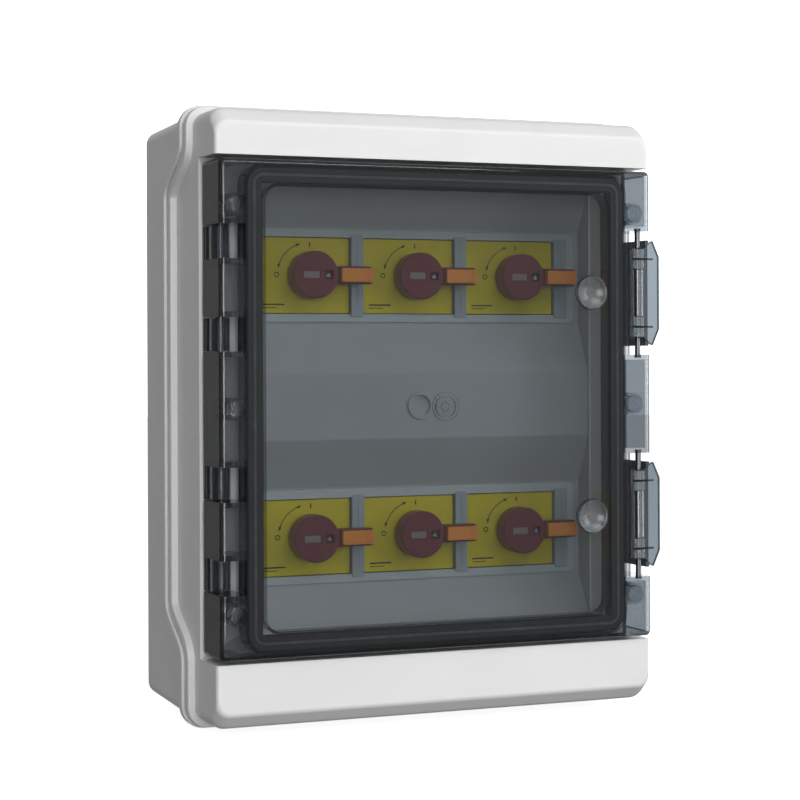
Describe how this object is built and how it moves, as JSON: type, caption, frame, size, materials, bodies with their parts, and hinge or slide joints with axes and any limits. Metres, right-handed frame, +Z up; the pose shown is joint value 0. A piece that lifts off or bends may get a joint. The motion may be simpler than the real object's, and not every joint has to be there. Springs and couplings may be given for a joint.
{
  "type": "dc combiner box",
  "caption": "Wall-mounted plastic enclosure with a smoked hinged door over two rows of rotary DC isolators with yellow plates and red lever knobs.",
  "frame": {"origin": "centre of the flat back of the base, on the wall", "axes": "+Z up, +Y into the wall, +X to the right of someone facing the door"},
  "size_m": [0.2868, 0.1464, 0.3608],
  "materials": {
    "shell_grey": "fine moulded grain, satin light grey",
    "smoked_clear": "clear smoked polycarbonate, polished",
    "seal_rubber": "black foamed rubber",
    "module_grey": "moulded light grey",
    "plate_yellow": "yellow printed plate, satin",
    "knob_red": "red moulded plastic, semi-gloss",
    "slide_orange": "orange moulded plastic",
    "zinc_steel": "zinc-plated steel",
    "terminal_green": "green moulded nylon",
    "terminal_brass": "bright brass"
  },
  "bodies": {
    "enclosure": {"base_box": "shell_grey", "front_cover": "shell_grey", "cover_seal": "seal_rubber", "hinge_clip_1": "smoked_clear", "hinge_clip_2": "smoked_clear", "hinge_clip_3": "smoked_clear", "hinge_clip_4": "smoked_clear", "cover_screw_1": "zinc_steel", "cover_screw_2": "zinc_steel", "cover_screw_3": "zinc_steel", "cover_screw_4": "zinc_steel", "cover_screw_5": "zinc_steel", "cover_screw_6": "zinc_steel", "din_rail_1": "zinc_steel", "din_rail_2": "zinc_steel", "rail_screw_1": "zinc_steel", "rail_screw_2": "zinc_steel", "rail_screw_3": "zinc_steel", "rail_screw_4": "zinc_steel", "terminal_holder": "terminal_green", "terminal_bar": "terminal_brass", "blank_strip_1": "module_grey", "blank_strip_2": "module_grey", "blank_strip_3": "module_grey", "blank_strip_4": "module_grey", "blank_strip_5": "module_grey", "blank_strip_6": "module_grey", "blank_strip_7": "module_grey", "blank_strip_8": "module_grey", "isolator_body_1": "module_grey", "isolator_plate_1": "plate_yellow", "isolator_body_2": "module_grey", "isolator_plate_2": "plate_yellow", "isolator_body_3": "module_grey", "isolator_plate_3": "plate_yellow", "isolator_body_4": "module_grey", "isolator_plate_4": "plate_yellow", "isolator_body_5": "module_grey", "isolator_plate_5": "plate_yellow", "isolator_body_6": "module_grey", "isolator_plate_6": "plate_yellow"},
    "door": {"door": "smoked_clear", "door_seal": "seal_rubber", "latch_pin_1": "zinc_steel", "latch_pin_2": "zinc_steel"},
    "latch_1": {"latch_1": "smoked_clear"},
    "latch_2": {"latch_2": "smoked_clear"},
    "knob_1": {"isolator_knob_1": "knob_red"},
    "lock_slide_1": {"lock_slide_1": "slide_orange"},
    "knob_2": {"isolator_knob_2": "knob_red"},
    "lock_slide_2": {"lock_slide_2": "slide_orange"},
    "knob_3": {"isolator_knob_3": "knob_red"},
    "lock_slide_3": {"lock_slide_3": "slide_orange"},
    "knob_4": {"isolator_knob_4": "knob_red"},
    "lock_slide_4": {"lock_slide_4": "slide_orange"},
    "knob_5": {"isolator_knob_5": "knob_red"},
    "lock_slide_5": {"lock_slide_5": "slide_orange"},
    "knob_6": {"isolator_knob_6": "knob_red"},
    "lock_slide_6": {"lock_slide_6": "slide_orange"}
  },
  "joints": [
    {"name": "door_hinge", "type": "hinge", "parent": "enclosure", "child": "door", "pos_m": [-0.1294, -0.123, 0.00515], "axis": [0, 0, -1], "range_deg": [0, 110]},
    {"name": "latch_1_swing", "type": "hinge", "parent": "door", "child": "latch_1", "pos_m": [0.1304, -0.14, 0.07215], "axis": [0, 0, -1], "range_deg": [0, 60]},
    {"name": "latch_2_swing", "type": "hinge", "parent": "door", "child": "latch_2", "pos_m": [0.1304, -0.14, -0.06185], "axis": [0, 0, -1], "range_deg": [0, 60]},
    {"name": "knob_1_turn", "type": "hinge", "parent": "enclosure", "child": "knob_1", "pos_m": [-0.0663, -0.104, 0.08225], "axis": [0, 1, 0], "range_deg": [0, 90]},
    {"name": "lock_slide_1_pull", "type": "slide", "parent": "knob_1", "child": "lock_slide_1", "axis": [1, 0, 0], "range_m": [0, 0.005]},
    {"name": "knob_2_turn", "type": "hinge", "parent": "enclosure", "child": "knob_2", "pos_m": [0.0011, -0.104, 0.08225], "axis": [0, 1, 0], "range_deg": [0, 90]},
    {"name": "lock_slide_2_pull", "type": "slide", "parent": "knob_2", "child": "lock_slide_2", "axis": [1, 0, 0], "range_m": [0, 0.005]},
    {"name": "knob_3_turn", "type": "hinge", "parent": "enclosure", "child": "knob_3", "pos_m": [0.0685, -0.104, 0.08225], "axis": [0, 1, 0], "range_deg": [0, 90]},
    {"name": "lock_slide_3_pull", "type": "slide", "parent": "knob_3", "child": "lock_slide_3", "axis": [1, 0, 0], "range_m": [0, 0.005]},
    {"name": "knob_4_turn", "type": "hinge", "parent": "enclosure", "child": "knob_4", "pos_m": [-0.0663, -0.104, -0.07195], "axis": [0, 1, 0], "range_deg": [0, 90]},
    {"name": "lock_slide_4_pull", "type": "slide", "parent": "knob_4", "child": "lock_slide_4", "axis": [1, 0, 0], "range_m": [0, 0.005]},
    {"name": "knob_5_turn", "type": "hinge", "parent": "enclosure", "child": "knob_5", "pos_m": [0.0011, -0.104, -0.07195], "axis": [0, 1, 0], "range_deg": [0, 90]},
    {"name": "lock_slide_5_pull", "type": "slide", "parent": "knob_5", "child": "lock_slide_5", "axis": [1, 0, 0], "range_m": [0, 0.005]},
    {"name": "knob_6_turn", "type": "hinge", "parent": "enclosure", "child": "knob_6", "pos_m": [0.0685, -0.104, -0.07195], "axis": [0, 1, 0], "range_deg": [0, 90]},
    {"name": "lock_slide_6_pull", "type": "slide", "parent": "knob_6", "child": "lock_slide_6", "axis": [1, 0, 0], "range_m": [0, 0.005]}
  ]
}
